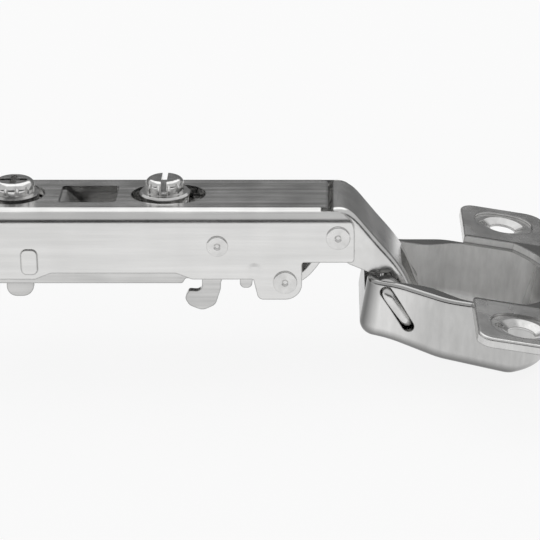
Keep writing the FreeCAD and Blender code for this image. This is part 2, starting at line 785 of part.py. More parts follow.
def inner_link():
    """The inner link, a bent strip rolled round its rivet and hooked over the cup's pin."""
    half = inner_link_width / 2
    drop = inner_link_eye_radius - inner_link_sheet / 2
    bore = cup_pin_radius + pin_clearance
    over = bore + inner_link_sheet / 2
    run = inner_cup_x - inner_pivot_x
    shape = ((0.155, -0.26), (0.285, 0.21), (0.383, 0.70), (0.494, 1.0), (0.611, 0.98), (0.717, 0.68))
    path = [(inner_pivot_x + 0.3, inner_pivot_z - drop)]
    for along, height in shape:
        path.append((inner_pivot_x + run * along, inner_pivot_z + inner_link_crown * height))
    for back, above in ((3.2, 1.05), (1.9, 0.65), (0.2, 0.4)):
        path.append((inner_cup_x - back, inner_cup_z + over + above))
    strip = ribbon(path, inner_link_sheet, -half, half)
    eye = cross_bar(inner_pivot_x, inner_pivot_z, inner_link_eye_radius, -half, half)
    curl = [
        (inner_cup_x - 0.6, inner_cup_z + bore + inner_link_sheet + 0.35, 0),
        (inner_cup_x + 0.4, inner_cup_z + bore + inner_link_sheet + 0.15, 0.6),
        (inner_cup_x + 1.15, inner_cup_z + 1.05, 1.0),
        (inner_cup_x + inner_link_hook_radius, inner_cup_z + 0.2, 1.0),
        (inner_cup_x + inner_link_hook_radius - 0.1, inner_cup_z - 0.7, 0.2),
        (inner_cup_x + 0.4, inner_cup_z - 0.7, 0),
        (inner_cup_x - 0.6, inner_cup_z + 0.3, 0),
    ]
    hook = side_plate(curl, -half, half)
    wide = half + 1
    hook = hook.cut(cross_bar(inner_cup_x, inner_cup_z, bore, -wide, wide))
    clear_z = inner_cup_z + bore + 0.35
    hook = hook.cut(block(inner_cup_x - 2, inner_cup_x + 0.01, -wide, wide, inner_cup_z - 2, clear_z))
    link = joined(strip, [eye, hook])
    return link.cut(cross_bar(inner_pivot_x, inner_pivot_z, rivet_radius + pin_clearance, -wide, wide))


def cup_outline(inset, flare_end, flare_length):
    """The pot seen from above, with its wall moved in by an inset."""
    snout = cup_snout_half_width - inset
    body = cup_body_half_width - inset
    start = cup_snout_x + inset
    flare_start = flare_end - flare_length
    past = cup_boring_radius + 1
    corner = cup_snout_corner_radius - inset / 2
    bend = min(cup_flare_bend_radius, flare_length)
    return [
        (start, -snout, corner),
        (flare_start, -snout, bend),
        (flare_end, -body, bend),
        (past, -body, 0),
        (past, body, 0),
        (flare_end, body, bend),
        (flare_start, snout, bend),
        (start, snout, corner),
    ]


def pot(outline, inset, depth, z_high, bottom_radius):
    """The pot as a full solid, with its sloped bottom rounded round the edge."""
    low = -depth - cup_boring_radius
    body = flat_outline(outline, low, z_high)
    body = body.common(upright(0, 0, cup_boring_radius - inset, low, z_high))
    corners = [edge for edge in body.Edges if edge.BoundBox.XMin > 1 and edge.BoundBox.XLength < 1e-4]
    corners = [edge for edge in corners if edge.BoundBox.YLength < 1e-4]
    body = body.makeFillet(cup_body_corner_radius - inset, corners)
    reach = 3 * cup_boring_radius
    under = block(-reach, reach, -reach, reach, -reach, 0)
    under.rotate(FreeCAD.Vector(0, 0, 0), FreeCAD.Vector(0, 1, 0), cup_bottom_slope_deg)
    under.translate(FreeCAD.Vector(0, 0, -depth))
    body = body.cut(under)
    slope = math.tan(math.radians(cup_bottom_slope_deg))
    low_edges = []
    for edge in body.Edges:
        on_bottom = [abs(v.Z + depth + v.X * slope) < 1e-3 for v in edge.Vertexes]
        if all(on_bottom):
            low_edges.append(edge)
    return body.makeFillet(bottom_radius, low_edges)


def wing_hole_tools(side):
    """The recess, the countersunk hole and the pip's pit of one wing."""
    y = side * wing_hole_spacing / 2
    corner = wing_recess_corner
    recess = long_hole(wing_hole_x, wing_recess_length, wing_recess_width, corner, -wing_recess_depth, 1)
    recess.translate(FreeCAD.Vector(0, y, 0))
    hole = upright(wing_hole_x, y, wing_hole_radius, -wing_sheet - 1, 1)
    sink_depth = wing_sheet - wing_recess_depth - 0.35
    sink = Part.makeCone(
        wing_hole_radius,
        wing_sink_radius,
        sink_depth,
        FreeCAD.Vector(wing_hole_x, y, -wing_recess_depth - sink_depth),
    )
    pit = upright(wing_hole_x - wing_pip_offset, y, wing_pip_radius, -wing_recess_depth - 0.4, 1)
    nub = upright(wing_hole_x - wing_pip_offset, y, wing_pip_radius * 0.45, -wing_recess_depth - 0.4, 1)
    return [recess, hole, sink, pit.cut(nub)]


def rounded_top(shape, z, radius):
    """Rounds the outline of a plate's upper side."""
    edges = [edge for edge in shape.Edges if edge.BoundBox.ZMin > z - 1e-4]
    return shape.makeFillet(radius, edges)


def cup_wings():
    """The cup's flat wings and end lip, as one plate."""
    corners = [
        (wing_start_x, -wing_half_span, wing_corner_radius),
        (wing_end_x, -wing_half_span, wing_corner_radius + 1),
        (wing_end_x, wing_half_span, wing_corner_radius + 1),
        (wing_start_x, wing_half_span, wing_corner_radius),
    ]
    plate = flat_outline(corners, -wing_sheet, 0)
    reach = cup_boring_radius + cup_end_lip
    lip = upright(0, 0, reach, -wing_sheet, 0)
    lip = lip.common(block(wing_start_x, reach, -reach, reach, -wing_sheet, 0))
    return rounded_top(joined(plate, [lip]), 0, wing_edge_rounding)


def cup():
    """The cup with its wings, one piece."""
    radius = cup_boring_radius
    outside = cup_outline(0, cup_flare_end_x, cup_flare_length)
    shell = pot(outside, 0, cup_depth, -cup_rim_drop, cup_bottom_radius)
    reach = 2 * radius
    under_wings = shell.common(block(wing_start_x, reach, -reach, reach, -cup_depth / 2, -wing_sheet))
    shell = rounded_top(shell, -cup_rim_drop, cup_rim_rounding)
    shell = joined(shell, [under_wings, cup_wings()])
    inside = cup_outline(cup_wall, cup_inner_flare_end_x, cup_inner_flare_length)
    shell = shell.cut(pot(inside, cup_wall, cup_depth - cup_floor, 1, cup_bottom_radius - cup_wall / 2))
    edge = cup_outline(cup_wall - cup_ledge, cup_flare_end_x, cup_flare_length)
    mouth = flat_outline(edge, -cup_rim_drop, 1)
    mouth = mouth.common(upright(0, 0, radius - cup_wall + cup_ledge, -cup_rim_drop, 1))
    mouth = mouth.common(block(wing_start_x - 1, radius, -radius, radius, -cup_rim_drop, 1))
    shell = shell.cut(mouth)
    shell = joined(shell, both_sides(pin_boss()))
    end_x = cup_snout_x
    notch = block(end_x - 1, end_x + 4, -notch_half_width, notch_half_width, notch_bottom_z, 1)
    shell = shell.cut(notch)
    for side in (-1, 1):
        for tool in wing_hole_tools(side):
            shell = shell.cut(tool)
    for x, z in ((outer_cup_pin_x, outer_cup_pin_z), (inner_cup_pin_x, inner_cup_pin_z)):
        shell = shell.cut(cross_bar(x, z, cup_pin_radius + fixed_clearance, -arm_width, arm_width))
    shell = shell.cut(pin_groove())
    return in_cup(shell.removeSplitter())


def pin_boss():
    """The thick place inside the near wall that holds the bent pin, and its twin on the far wall."""
    high = (inner_cup_pin_x, inner_cup_pin_z)
    low = (outer_cup_pin_x, outer_cup_pin_z)
    outer_y = -cup_snout_half_width + cup_wall + fixed_clearance
    inner_y = -cup_snout_half_width + cup_wall + cup_pin_boss_height
    radius = cup_pin_boss_radius
    first = cross_bar(high[0], high[1], radius, outer_y - cup_wall / 2, inner_y)
    second = cross_bar(low[0], low[1], radius, outer_y - cup_wall / 2, inner_y)
    length = math.hypot(high[0] - low[0], high[1] - low[1])
    angle = math.degrees(math.atan2(high[1] - low[1], low[0] - high[0]))
    bar = block(0, length, outer_y - cup_wall / 2, inner_y, -radius, radius)
    bar.rotate(FreeCAD.Vector(0, 0, 0), FreeCAD.Vector(0, 1, 0), angle)
    bar.translate(FreeCAD.Vector(high[0], 0, high[1]))
    return joined(first, [second, bar])


def pin_groove():
    """The groove in the near wall that takes the bridge of the bent pin."""
    floor_y = -cup_snout_half_width + cup_pin_groove_depth
    radius = cup_pin_radius + pin_clearance
    low = cross_bar(outer_cup_pin_x, outer_cup_pin_z, radius, -arm_width, floor_y)
    high = cross_bar(inner_cup_pin_x, inner_cup_pin_z, radius, -arm_width, floor_y)
    length = math.hypot(outer_cup_pin_x - inner_cup_pin_x, outer_cup_pin_z - inner_cup_pin_z)
    angle = math.degrees(math.atan2(inner_cup_pin_z - outer_cup_pin_z, outer_cup_pin_x - inner_cup_pin_x))
    bar = block(0, length, -arm_width, floor_y, -radius, radius)
    bar.rotate(FreeCAD.Vector(0, 0, 0), FreeCAD.Vector(0, 1, 0), angle)
    bar.translate(FreeCAD.Vector(inner_cup_pin_x, 0, inner_cup_pin_z))
    return joined(low, [high, bar])


def cup_pin_staple():
    """The bent wire whose two legs are the cup's pivots."""
    bridge_y = -cup_snout_half_width + cup_pin_groove_depth - pin_clearance - cup_pin_radius
    end_y = cup_snout_half_width
    bend = cup_pin_bend_radius
    low = FreeCAD.Vector(outer_cup_pin_x, 0, outer_cup_pin_z)
    high = FreeCAD.Vector(inner_cup_pin_x, 0, inner_cup_pin_z)
    run = (high - low).normalize()
    across = FreeCAD.Vector(0, 1, 0)
    quarter = math.sqrt(0.5)
    edges = []
    corners = ((low, run), (high, run * -1))
    low_corner = low + across * bridge_y
    high_corner = high + across * bridge_y
    edges.append(Part.makeLine(low + across * end_y, low_corner + across * bend))
    middle = low_corner + (run + across) * (bend * (1 - quarter))
    edges.append(Part.Arc(low_corner + across * bend, middle, low_corner + run * bend).toShape())
    edges.append(Part.makeLine(low_corner + run * bend, high_corner - run * bend))
    middle = high_corner + (across - run) * (bend * (1 - quarter))
    edges.append(Part.Arc(high_corner - run * bend, middle, high_corner + across * bend).toShape())
    edges.append(Part.makeLine(high_corner + across * bend, high + across * end_y))
    ring = Part.Wire([Part.makeCircle(cup_pin_radius, low + across * end_y, across)])
    return in_cup(Part.Wire(edges).makePipeShell([ring], True, True))


def save(name, shape):
    """Writes one sub-part."""
    solids = shape.Solids
    whole = solids[0] if len(solids) == 1 else Part.makeCompound(solids)
    whole.exportStep(os.path.join("parts", name + ".step"))
    print(name, len(solids), "solid", round(whole.Volume, 2), "mm3", whole.isValid())


def main():
    os.makedirs("parts", exist_ok=True)
    near_spring, far_spring = both_sides(closing_spring())
    save("hinge_arm", hinge_arm())
    save("outer_link_rivet", rivet(outer_pivot_x, outer_pivot_z, rivet_radius, rivet_head_radius))
    save("inner_link_rivet", rivet(inner_pivot_x, inner_pivot_z, rivet_radius, rivet_head_radius))
    save("closing_spring_near", near_spring)
    save("closing_spring_far", far_spring)
    save("tilt_pin", tilt_pin())
    save("adjuster_channel", adjuster_channel())
    save("side_screw", side_screw())
    save("side_screw_nut", side_screw_nut())
    save("depth_screw", depth_screw())
    save("clip_lever", clip_lever())
    save("lever_pin", lever_pin())
    save("lever_spring", lever_spring())
    save("outer_link", outer_link())
    save("inner_link", inner_link())
    save("cup", cup())
    save("cup_pin_staple", cup_pin_staple())


main()
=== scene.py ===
"""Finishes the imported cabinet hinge, and sets the stage and the camera round it."""
import json
import math

import bpy
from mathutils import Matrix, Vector

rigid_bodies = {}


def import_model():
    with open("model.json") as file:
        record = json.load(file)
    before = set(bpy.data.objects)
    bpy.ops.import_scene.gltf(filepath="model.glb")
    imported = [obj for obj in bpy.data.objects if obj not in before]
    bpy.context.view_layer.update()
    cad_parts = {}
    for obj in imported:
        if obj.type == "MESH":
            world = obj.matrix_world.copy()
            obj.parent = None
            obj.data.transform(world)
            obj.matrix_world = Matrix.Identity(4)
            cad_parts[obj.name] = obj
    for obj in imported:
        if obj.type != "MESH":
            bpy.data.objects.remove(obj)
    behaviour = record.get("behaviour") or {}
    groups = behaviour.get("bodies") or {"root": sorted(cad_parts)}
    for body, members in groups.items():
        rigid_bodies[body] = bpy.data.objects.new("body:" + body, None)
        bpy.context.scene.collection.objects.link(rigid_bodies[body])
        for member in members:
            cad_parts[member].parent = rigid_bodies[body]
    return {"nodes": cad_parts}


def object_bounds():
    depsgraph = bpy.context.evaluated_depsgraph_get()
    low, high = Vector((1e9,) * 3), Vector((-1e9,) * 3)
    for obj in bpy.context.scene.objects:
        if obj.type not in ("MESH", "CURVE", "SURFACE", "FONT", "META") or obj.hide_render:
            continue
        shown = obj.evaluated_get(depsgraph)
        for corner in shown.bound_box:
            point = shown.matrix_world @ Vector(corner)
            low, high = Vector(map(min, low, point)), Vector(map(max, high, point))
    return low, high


bl_info = {
    "name": "Cabinet Hinge Finisher",
    "version": (1, 0, 0),
    "blender": (4, 5, 0),
    "location": "3D View > Sidebar > Hinge",
    "description": "Plates and dresses the parts of a concealed cabinet hinge and sets its stage",
    "category": "Object",
}

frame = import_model()
cad_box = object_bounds()

MILLIMETRE = 0.001

# Where the looks change on the arm, in the hinge's frame: above the top's start the arm is painted darker
# (painted shade)
ARM_TOP_SHADE_START = 12.4 * MILLIMETRE
SOFT_STEP = 0.3 * MILLIMETRE

# The cup's own frame, and where its painted shade and other looks change along it and above its bottom
CUP_CENTRE = Vector((42.3, 0.0, 1.0)) * MILLIMETRE
CUP_TILT = math.radians(9.5)
CUP_DEPTH = 12.0 * MILLIMETRE
CUP_BOTTOM_SLOPE = math.radians(4.0)
POT_HALF_WIDTH = 13.9 * MILLIMETRE
# Painted shade on the pot, fading in between these places along the cup
FLARE_START = -9.5 * MILLIMETRE
FLARE_END = -3.5 * MILLIMETRE
# Painted shade on the snout's end, fading out between these places along the cup
SNOUT_DARK_END = -14.0 * MILLIMETRE
SNOUT_BRIGHT_START = -11.9 * MILLIMETRE
# Painted shade on the rim, fading in between these heights
RIM_START = -2.1 * MILLIMETRE
RIM_END = -1.4 * MILLIMETRE
# Painted shade: a dark band round the outside of the bottom bend, between these heights above the bottom
BOTTOM_BEND_START = 0.02 * MILLIMETRE
BOTTOM_BEND_FULL = 0.08 * MILLIMETRE
BOTTOM_BEND_FADE = 0.5 * MILLIMETRE
BOTTOM_BEND_END = 2.1 * MILLIMETRE
# Painted light on the inside, with less metal and more roughness, fading in between these places
INNER_WALL_FULL = -6.0 * MILLIMETRE
INNER_WALL_START = -2.0 * MILLIMETRE

# Noise scales, and how the noise is drawn out along a sheet's rolling or drawing direction
STREAK_SCALE = 900.0
STAIN_SCALE = 160.0
SCRATCH_SCALE = 2600.0
BLOTCH_SCALE = 700.0
TURNING_SCALE = 4200.0
ARM_STRETCH = (0.03, 1.0, 1.0)
LINK_STRETCH = (0.2, 0.05, 0.2)
CUP_STRETCH = (1.0, 1.0, 0.3)

# The part of the noise's range that is used
NOISE_LOW = 0.3
NOISE_HIGH = 0.7
SHADE_LOW = 0.35
SHADE_HIGH = 0.65

# How bright the metal is, in shares of its colour: where it is streaked or stained, and elsewhere. The
# pot's, the sharp edges', the bottom bend's, the snout end's and the rim's tones are painted shade, and the
# inside's tones painted light
SNOUT_TONES = (0.88, 1.0)
# Painted shade: the pot's darker tones
POT_SHADE_TONES = (0.64, 0.74)
WING_TONES = (0.78, 0.97)
# Painted light: the inside's lighter tones
INSIDE_PAINTED_LIGHT_TONES = (1.02, 1.24)
TURNED_TONES = (0.85, 1.08)
SHEET_TONE = 1.06
# Painted shade along sharp edges, on the sheet and on the cup
SHEET_EDGE_SHADE_TONE = 0.4
CUP_EDGE_SHADE_TONE = 0.35
# Painted shade round the bottom bend
BOTTOM_SHADE_TONE = 0.16
# Painted shade on the snout's end
SNOUT_END_SHADE_TONE = 0.24
# Painted shade on the rim
RIM_SHADE_TONE = 0.6

# Strength and depth of the fine relief, and the radius that edges are rounded to
SHEET_RELIEF = (0.06, 0.04 * MILLIMETRE, 0.13 * MILLIMETRE)
CUP_RELIEF = (0.05, 0.03 * MILLIMETRE, 0.16 * MILLIMETRE)
TURNED_RELIEF = (0.05, 0.03 * MILLIMETRE, 0.09 * MILLIMETRE)

# Sharp cut edges and bends, along which shade is painted, and how far that painted shade reaches
EDGE_SAMPLES = 6
EDGE_LIMIT = 0.14
SHEET_EDGE_REACH = 0.34 * MILLIMETRE
CUP_EDGE_REACH = 0.3 * MILLIMETRE

# Lamp and cards, in metres, and the camera, which looks at a point 60 of the picture's
# 540 pixels to the right of its middle
LOOK_POINT = Vector((21.7, 0.0, -0.22)) * MILLIMETRE
LAMP_PLACE = (0.0, 0.46, 0.74)
LAMP_TARGET = (0.01, 0.0, 0.0)
LAMP_SIZE = 0.9
CARD_WIDTH = 3.0
CARD_LIFT = 0.5 * MILLIMETRE
FRONT_CARD_LIFT = 35.5 * MILLIMETRE
SENSOR_WIDTH = 36.0
CAMERA_SHIFT = -60.0 / 540.0


class Wire:
    """One output of a shader node, which can be used in a Python expression."""

    def __init__(self, tree, socket):
        self.tree = tree
        self.socket = socket

    def _maths(self, operation, first, second):
        return self.tree.node("ShaderNodeMath", {"operation": operation}, {0: first, 1: second})

    def __add__(self, other):
        return self._maths("ADD", self, other)

    __radd__ = __add__

    def __sub__(self, other):
        return self._maths("SUBTRACT", self, other)

    def __rsub__(self, other):
        return self._maths("SUBTRACT", other, self)

    def __mul__(self, other):
        return self._maths("MULTIPLY", self, other)

    __rmul__ = __mul__


class Finish:
    """A material's node tree, with one method that makes any node."""

    def __init__(self, name):
        self.material = bpy.data.materials.new(name)
        self.material.use_nodes = True
        self.nodes = self.material.node_tree.nodes
        self.links = self.material.node_tree.links
        self.nodes.clear()

    def node(self, kind, settings=None, inputs=None, output=0):
        """Makes a node, sets it, fills its sockets and returns one of its outputs."""
        made = self.nodes.new(kind)
        for key, value in (settings or {}).items():
            setattr(made, key, value)
        for key, value in (inputs or {}).items():
            if isinstance(value, Wire):
                self.links.new(value.socket, made.inputs[key])
            else:
                made.inputs[key].default_value = value
        return Wire(self, made.outputs[output]) if made.outputs else None

    def place(self, stretch=(1.0, 1.0, 1.0)):
        """Object coordinates, stretched along the axes."""
        coordinates = self.node("ShaderNodeTexCoord", output="Object")
        return self.node("ShaderNodeMapping", inputs={"Vector": coordinates, "Scale": stretch})

    def position(self, axis):
        """One of the object coordinates, in metres."""
        coordinates = self.node("ShaderNodeTexCoord", output="Object")
        return self.node("ShaderNodeSeparateXYZ", inputs={"Vector": coordinates}, output=axis)

    def facing(self, axis):
        """How far the surface faces along one of the object's axes, from -1 to 1."""
        normal = self.node("ShaderNodeTexCoord", output="Normal")
        return self.node("ShaderNodeSeparateXYZ", inputs={"Vector": normal}, output=axis)

    def edges(self, radius):
        """How close the surface is to a sharp edge, from 0 to 1."""
        soft = self.node("ShaderNodeBevel", {"samples": EDGE_SAMPLES}, {"Radius": radius})
        plain = self.node("ShaderNodeNewGeometry", output="Normal")
        alike = self.node("ShaderNodeVectorMath", {"operation": "DOT_PRODUCT"}, {0: soft, 1: plain}, "Value")
        return self.spread(1.0 - alike, 0.0, EDGE_LIMIT)

    def relief(self, height, strength, distance, edge):
        """The surface's normal, with edges rounded to a radius and a fine relief."""
        soft = self.node("ShaderNodeBevel", {"samples": EDGE_SAMPLES}, {"Radius": edge})
        return self.node(
            "ShaderNodeBump",
            inputs={"Strength": strength, "Distance": distance, "Height": height, "Normal": soft},
        )

    def grain(self, scale, stretch=(1.0, 1.0, 1.0), detail=3.0, roughness=0.5):
        """Noise between 0 and 1, stretched along the axes."""
        return self.node(
            "ShaderNodeTexNoise",
            inputs={"Vector": self.place(stretch), "Scale": scale, "Detail": detail, "Roughness": roughness},
        )

    def blend(self, factor, first, second):
        """A colour between two colours."""
        return self.node(
            "ShaderNodeMix",
            {"data_type": "RGBA"},
            {0: factor, 6: first, 7: second},
            output=2,
        )

    def tones(self, factor, colour, pair):
        """A colour between two tones of one colour."""
        return self.blend(factor, tone(colour, pair[0]), tone(colour, pair[1]))

    def spread(self, wire, low, high, to_low=0.0, to_high=1.0):
        """A number brought from one range to another, and held inside it."""
        return self.node(
            "ShaderNodeMapRange",
            {"clamp": True},
            {"Value": wire, "From Min": low, "From Max": high, "To Min": to_low, "To Max": to_high},
        )

    def surface(self, sockets):
        """The shader itself, from its sockets' values and links."""
        shader = self.node("ShaderNodeBsdfPrincipled", inputs=sockets)
        self.node("ShaderNodeOutputMaterial", inputs={"Surface": shader})
        return self.material


def tone(colour, factor):
    """A colour made darker or lighter, with full alpha."""
    return tuple(min(1.0, part * factor) for part in colour[:3]) + (1.0,)


class HingeFinishes(bpy.types.PropertyGroup):
    """Colours and surface qualities of the hinge's metal."""

    nickel: bpy.props.FloatVectorProperty(
        name="Nickel", description="Colour of the nickel plating", subtype="COLOR", size=3,
        default=(0.80, 0.797, 0.788), min=0.0, max=1.0)
    steel: bpy.props.FloatVectorProperty(
        name="Pin Steel", description="Colour of rivets and bent wire", subtype="COLOR", size=3,
        default=(0.77, 0.767, 0.758), min=0.0, max=1.0)
    spring: bpy.props.FloatVectorProperty(
        name="Spring Wire", description="Colour of the springs", subtype="COLOR", size=3,
        default=(0.30, 0.29, 0.28), min=0.0, max=1.0)
    satin: bpy.props.FloatProperty(
        name="Satin", description="Roughness of the plated sheet", subtype="FACTOR",
        default=0.2, min=0.0, max=1.0)
    polish: bpy.props.FloatProperty(
        name="Polish", description="Roughness of the bright drawn parts", subtype="FACTOR",
        default=0.14, min=0.0, max=1.0)


class HingeStage(bpy.types.PropertyGroup):
    """Floor, lamp, cards and camera round the hinge."""

    floor_colour: bpy.props.FloatVectorProperty(
        name="Floor", description="Colour of the floor", subtype="COLOR", size=3,
        default=(0.985, 0.985, 0.985), min=0.0, max=1.0)
    floor_drop: bpy.props.FloatProperty(
        name="Floor Height", description="Height of the floor in the hinge's frame", unit="LENGTH",
        default=cad_box[0][2])
    floor_size: bpy.props.FloatProperty(
        name="Floor Size", description="Side of the square floor", unit="LENGTH", default=6.0)
    floor_glow: bpy.props.FloatProperty(
        name="Floor Glow", description="Share of the floor's own white where it is seen",
        subtype="FACTOR", default=0.88, min=0.0, max=1.0)
    mirror_glow: bpy.props.FloatProperty(
        name="Mirrored Glow", description="Share of the floor's own white where the metal mirrors it",
        subtype="FACTOR", default=0.75, min=0.0, max=1.0)
    back_card: bpy.props.FloatProperty(
        name="Back Card", description="Brightness of the card behind the hinge", default=0.165, min=0.0)
    front_card: bpy.props.FloatProperty(
        name="Front Card", description="Brightness of the card in front of the hinge", default=0.06, min=0.0)
    lamp_power: bpy.props.FloatProperty(
        name="Lamp Power", description="Power of the soft lamp overhead", unit="POWER", default=1.7, min=0.0)
    surround: bpy.props.FloatProperty(
        name="Surround", description="Brightness of the even surroundings", default=0.6, min=0.0)
    elevation: bpy.props.FloatProperty(
        name="Camera Elevation", description="Angle of the camera above the horizon", unit="ROTATION",
        default=math.radians(22.0))
    distance: bpy.props.FloatProperty(
        name="Camera Distance", description="From the camera to the point it looks at", unit="LENGTH",
        default=393.4 * MILLIMETRE)
    lens: bpy.props.FloatProperty(
        name="Lens", description="Focal length in millimetres on a 36 mm sensor", default=160.0)


def clear_selection():
    """Leaves nothing selected."""
    for thing in bpy.context.view_layer.objects:
        thing.select_set(False)


def coat(names, material):
    """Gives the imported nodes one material."""
    for name in names:
        node = frame["nodes"][name]
        slots = node.data.materials
        if len(slots) == 0:
            slots.append(material)
        for index in range(len(slots)):
            slots[index] = material


def rolled_shade(finish, streak_stretch):
    """Streaks and faint stains: both together, and each by itself, all from 0 to 1."""
    streak = finish.grain(STREAK_SCALE, streak_stretch, detail=4.0, roughness=0.6)
    stain = finish.grain(STAIN_SCALE, detail=2.0)
    shade = finish.spread(streak * 0.65 + stain * 0.35, SHADE_LOW, SHADE_HIGH)
    return shade, streak, stain


def plated_sheet(name, colour, roughness, streak_stretch, streak_and_top_shade_depth=0.25, depth_below_top_shade=None):
    """Plated steel sheet with rolling streaks, faint stains, fine scratches and painted shade along its
    sharp edges.

    With a wall depth given, the streaks are that faint below the arm's top, and the top, with the full
    depth, is painted darker (painted shade).
    """
    finish = Finish(name)
    shade, streak, stain = rolled_shade(finish, streak_stretch)
    dull_streak_and_top_shade = tone(colour, 1.0 - streak_and_top_shade_depth)
    # Painted shade: the arm's top gets the darker streak tone, its walls a fainter one
    if depth_below_top_shade is not None:
        painted_top_shade = finish.spread(finish.position("Z"), ARM_TOP_SHADE_START, ARM_TOP_SHADE_START + SOFT_STEP)
        dull_streak_and_top_shade = finish.blend(painted_top_shade, tone(colour, 1.0 - depth_below_top_shade), dull_streak_and_top_shade)
    base = finish.blend(shade, dull_streak_and_top_shade, tone(colour, SHEET_TONE))
    # Painted shade along the sharp edges
    base = finish.blend(finish.edges(SHEET_EDGE_REACH), base, tone(colour, SHEET_EDGE_SHADE_TONE))
    wear = stain * 0.5 + streak * 0.5
    rough = finish.spread(wear, NOISE_LOW, NOISE_HIGH, roughness * 0.8, roughness * 1.35)
    scratches = finish.grain(SCRATCH_SCALE, streak_stretch, detail=2.0)
    normal = finish.relief(scratches, *SHEET_RELIEF)
    return finish.surface({"Base Color": base, "Metallic": 1.0, "Roughness": rough, "Normal": normal})


def drawn_cup(name, colour, wall_roughness, wing_roughness):
    """The drawn cup: a plain snout, satin wings and inside, painted shade on the pot, round the bottom bend,
    on the snout's end, on the rim and along sharp edges, and painted light inside.
    """
    finish = Finish(name)
    shade, _, stain = rolled_shade(finish, CUP_STRETCH)
    right = finish.position("X") - CUP_CENTRE.x
    up = finish.position("Z") - CUP_CENTRE.z
    across = finish.position("Y")
    along = right * math.cos(CUP_TILT) - up * math.sin(CUP_TILT)
    above = right * math.sin(CUP_TILT) + up * math.cos(CUP_TILT)
    over_bottom = above + along * math.tan(CUP_BOTTOM_SLOPE) + CUP_DEPTH

    wing_start, wing_end = POT_HALF_WIDTH ** 2, (POT_HALF_WIDTH + SOFT_STEP) ** 2
    wing = finish.spread(across * across, wing_start, wing_end)
    inside = finish.spread(finish.facing("Y") * across, INNER_WALL_FULL, INNER_WALL_START, 1.0, 0.0)
    outside = (1.0 - inside) * finish.spread(finish.facing("Z"), 0.3, 0.5, 1.0, 0.0)
    # Painted shade on the pot, from where it flares on
    pot_shade = finish.spread(along, FLARE_START, FLARE_END)
    # Painted shade: a dark band on the outside of the bottom bend
    bottom_shade = finish.spread(over_bottom, BOTTOM_BEND_FADE, BOTTOM_BEND_END, 1.0, 0.0)
    bottom_shade = bottom_shade * finish.spread(over_bottom, BOTTOM_BEND_START, BOTTOM_BEND_FULL) * outside
    # Painted shade on the snout's end
    snout_end_shade = finish.spread(along, SNOUT_DARK_END, SNOUT_BRIGHT_START)
    # Painted shade on the rim, away from the wings
    rim_shade = finish.spread(above, RIM_START, RIM_END) * (1.0 - wing)

    unshaded_snout = finish.tones(shade, colour, SNOUT_TONES)
    # Painted shade: the pot in darker tones than the snout
    painted_shade_pot = finish.tones(shade, colour, POT_SHADE_TONES)
    base = finish.blend(pot_shade, unshaded_snout, painted_shade_pot)
    base = finish.blend(wing, base, finish.tones(shade, colour, WING_TONES))
    # Painted shade round the bottom bend
    base = finish.blend(bottom_shade, base, tone(colour, BOTTOM_SHADE_TONE))
    # Painted shade on the snout's end
    base = finish.blend(snout_end_shade, tone(colour, SNOUT_END_SHADE_TONE), base)
    # Painted shade on the rim
    base = finish.blend(rim_shade, base, tone(colour, RIM_SHADE_TONE))
    # Painted light on the inside
    base = finish.blend(inside, base, finish.tones(shade, colour, INSIDE_PAINTED_LIGHT_TONES))
    # Painted shade along the cup's sharp edges
    base = finish.blend(finish.edges(CUP_EDGE_REACH), base, tone(colour, CUP_EDGE_SHADE_TONE))

    rough = finish.spread(stain, NOISE_LOW, NOISE_HIGH, wall_roughness * 0.8, wall_roughness * 1.3)
    rough = rough + wing * (wing_roughness - wall_roughness) + inside * 0.2
    scratches = finish.grain(SCRATCH_SCALE, detail=2.0)
    normal = finish.relief(scratches, *CUP_RELIEF)
    metal = 1.0 - inside * 0.75
    return finish.surface({"Base Color": base, "Metallic": metal, "Roughness": rough, "Normal": normal})


def turned_metal(name, colour, roughness):
    """Bright plated metal of screws, rivets and pins."""
    finish = Finish(name)
    blotch = finish.grain(BLOTCH_SCALE)
    base = finish.tones(finish.spread(blotch, NOISE_LOW, NOISE_HIGH), colour, TURNED_TONES)
    rough = finish.spread(blotch, NOISE_LOW, NOISE_HIGH, roughness * 0.8, roughness * 1.4)
    turning = finish.grain(TURNING_SCALE, detail=2.0)
    normal = finish.relief(turning, *TURNED_RELIEF)
    return finish.surface({"Base Color": base, "Metallic": 1.0, "Roughness": rough, "Normal": normal})


class HINGE_OT_finish_arm(bpy.types.Operator):
    """Plates the outer arm and the channel inside it"""

    bl_idname = "hinge.finish_arm"
    bl_label = "Finish Arm"

    def execute(self, context):
        finishes = context.scene.hinge_finishes
        # The arm's top is painted darker than its walls (painted shade)
        arm = plated_sheet("nickel_arm", finishes.nickel, finishes.satin, ARM_STRETCH, depth_below_top_shade=0.1)
        coat(["hinge_arm"], arm)
        # The channel and clip lever inside the arm get a darker copy of the nickel: painted shade
        channel = plated_sheet("nickel_channel_painted_shade", tone(finishes.nickel, 0.9), finishes.satin, ARM_STRETCH)
        coat(["adjuster_channel", "clip_lever"], channel)
        return {"FINISHED"}


class HINGE_OT_finish_links(bpy.types.Operator):
    """Plates the two links"""

    bl_idname = "hinge.finish_links"
    bl_label = "Finish Links"

    def execute(self, context):
        finishes = context.scene.hinge_finishes
        material = plated_sheet("nickel_links", finishes.nickel, finishes.satin, LINK_STRETCH, 0.18)
        coat(["outer_link", "inner_link"], material)
        return {"FINISHED"}


class HINGE_OT_finish_cup(bpy.types.Operator):
    """Plates the drawn cup"""

    bl_idname = "hinge.finish_cup"
    bl_label = "Finish Cup"

    def execute(self, context):
        finishes = context.scene.hinge_finishes
        coat(["cup"], drawn_cup("nickel_cup", finishes.nickel, finishes.polish, finishes.satin * 1.3))
        return {"FINISHED"}


